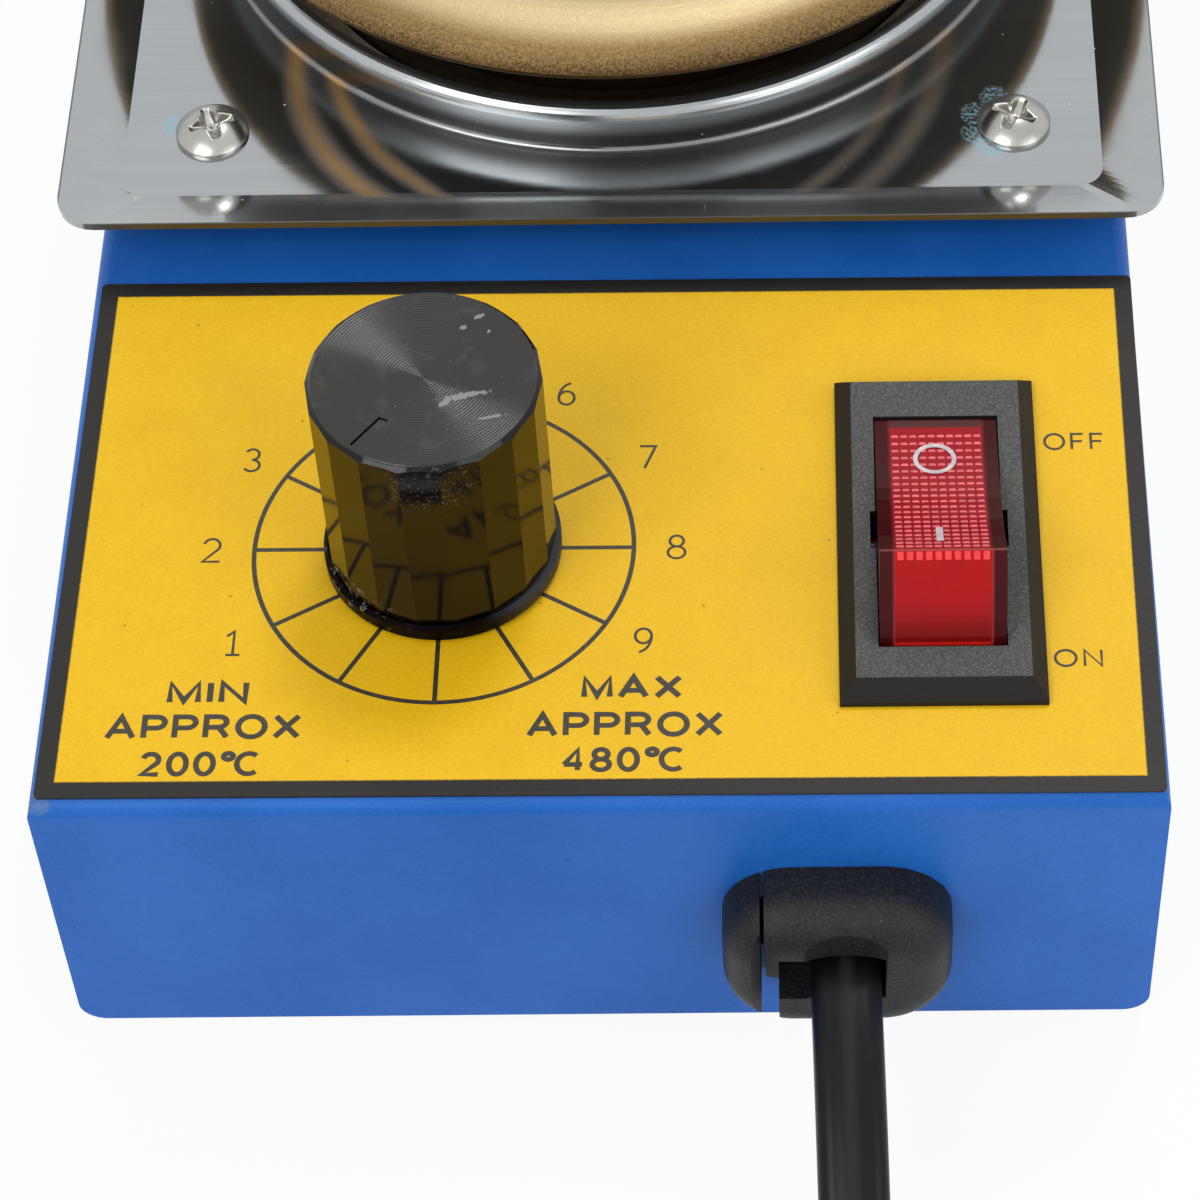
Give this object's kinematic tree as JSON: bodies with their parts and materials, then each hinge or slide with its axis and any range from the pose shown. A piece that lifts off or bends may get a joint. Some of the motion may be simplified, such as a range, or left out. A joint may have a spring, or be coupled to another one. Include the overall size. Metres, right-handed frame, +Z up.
{
  "type": "solder pot",
  "caption": "Small solder pot: round crucible in a steel drip tray on a flat folded housing, with a temperature dial, a lit rocker switch and a flat mains cord.",
  "frame": {"origin": "on the bench under the centre of the pot's box, with the cord, its strain relief and its plug left out", "axes": "+X to the right facing the dial, +Y from the control end to the crucible end, +Z up"},
  "size_m": [0.0936, 0.2645, 0.0501],
  "materials": {
    "blue_paint": "fine-grained powder coat",
    "label_film": "printed satin film",
    "polished_steel": "polished sheet with fine brush lines",
    "screw_steel": "nickel plated",
    "gold_satin": "satin gold",
    "zinc_steel": "zinc plated",
    "heater_mica": "dark mica band",
    "fibre_wrap": "white ceramic fibre",
    "ceramic": "unglazed ceramic",
    "black_gloss": "glossy moulded plastic",
    "grained_black": "fine grained moulded plastic",
    "red_lens": "clear red lens",
    "lamp_glass": "clear glass",
    "brown_board": "paper laminate",
    "dark_part": "moulded",
    "grey_aluminium": "bare extruded",
    "film_red": "dipped",
    "resistor_tan": "lacquered",
    "contact_brass": "plated",
    "block_white": "moulded",
    "core_brown": "insulated core",
    "sleeve_white": "glass-fibre sleeve",
    "core_red": "insulated core",
    "foot_rubber": "soft rubber",
    "relief_black": "matt nylon",
    "cord_black": "smooth PVC",
    "plug_black": "moulded PVC"
  },
  "bodies": {
    "root": {"housing": "blue_paint", "bottom_plate": "blue_paint", "foot_front_left": "foot_rubber", "foot_front_right": "foot_rubber", "foot_rear_left": "foot_rubber", "foot_rear_right": "foot_rubber", "base_screws": "screw_steel", "label": "label_film", "drip_tray": "polished_steel", "tray_screws": "screw_steel", "tray_spacers": "zinc_steel", "tray_nuts": "zinc_steel", "crucible": "gold_satin", "heater_band": "heater_mica", "band_screw": "zinc_steel", "insulation_wrap": "fibre_wrap", "heat_shield": "zinc_steel", "insulation_disc": "ceramic", "pot_stud": "zinc_steel", "pot_washer": "zinc_steel", "pot_nut": "zinc_steel", "control_bush": "zinc_steel", "control_nut": "zinc_steel", "control_washer": "zinc_steel", "control_can": "zinc_steel", "control_track": "brown_board", "control_lugs": "contact_brass", "circuit_board": "brown_board", "triac": "dark_part", "heat_sink": "grey_aluminium", "capacitor": "film_red", "resistors": "resistor_tan", "switch_frame": "grained_black", "switch_terminals": "contact_brass", "terminal_block": "block_white", "terminal_screws": "contact_brass", "mains_leads": "core_brown", "heater_leads": "sleeve_white", "control_leads": "core_red", "strain_relief_body": "relief_black", "strain_relief_wedge": "relief_black", "cord_run": "cord_black", "cord_coil": "cord_black", "cord_tail": "cord_black", "plug_body": "plug_black", "plug_pins": "contact_brass"},
    "dial_knob": {"knob": "black_gloss", "control_shaft": "grey_aluminium", "control_rotor": "brown_board"},
    "switch_rocker": {"rocker": "red_lens", "switch_lamp": "lamp_glass"}
  },
  "joints": [
    {"name": "knob_turn", "type": "hinge", "parent": "root", "child": "dial_knob", "pos_m": [-0.0117, -0.04485, 0.0357], "axis": [0, 0, 1], "range_deg": [-300, 0]},
    {"name": "rocker_tilt", "type": "hinge", "parent": "root", "child": "switch_rocker", "pos_m": [0.0244, -0.04505, 0.0301], "axis": [1, 0, 0], "range_deg": [0, 39]}
  ]
}
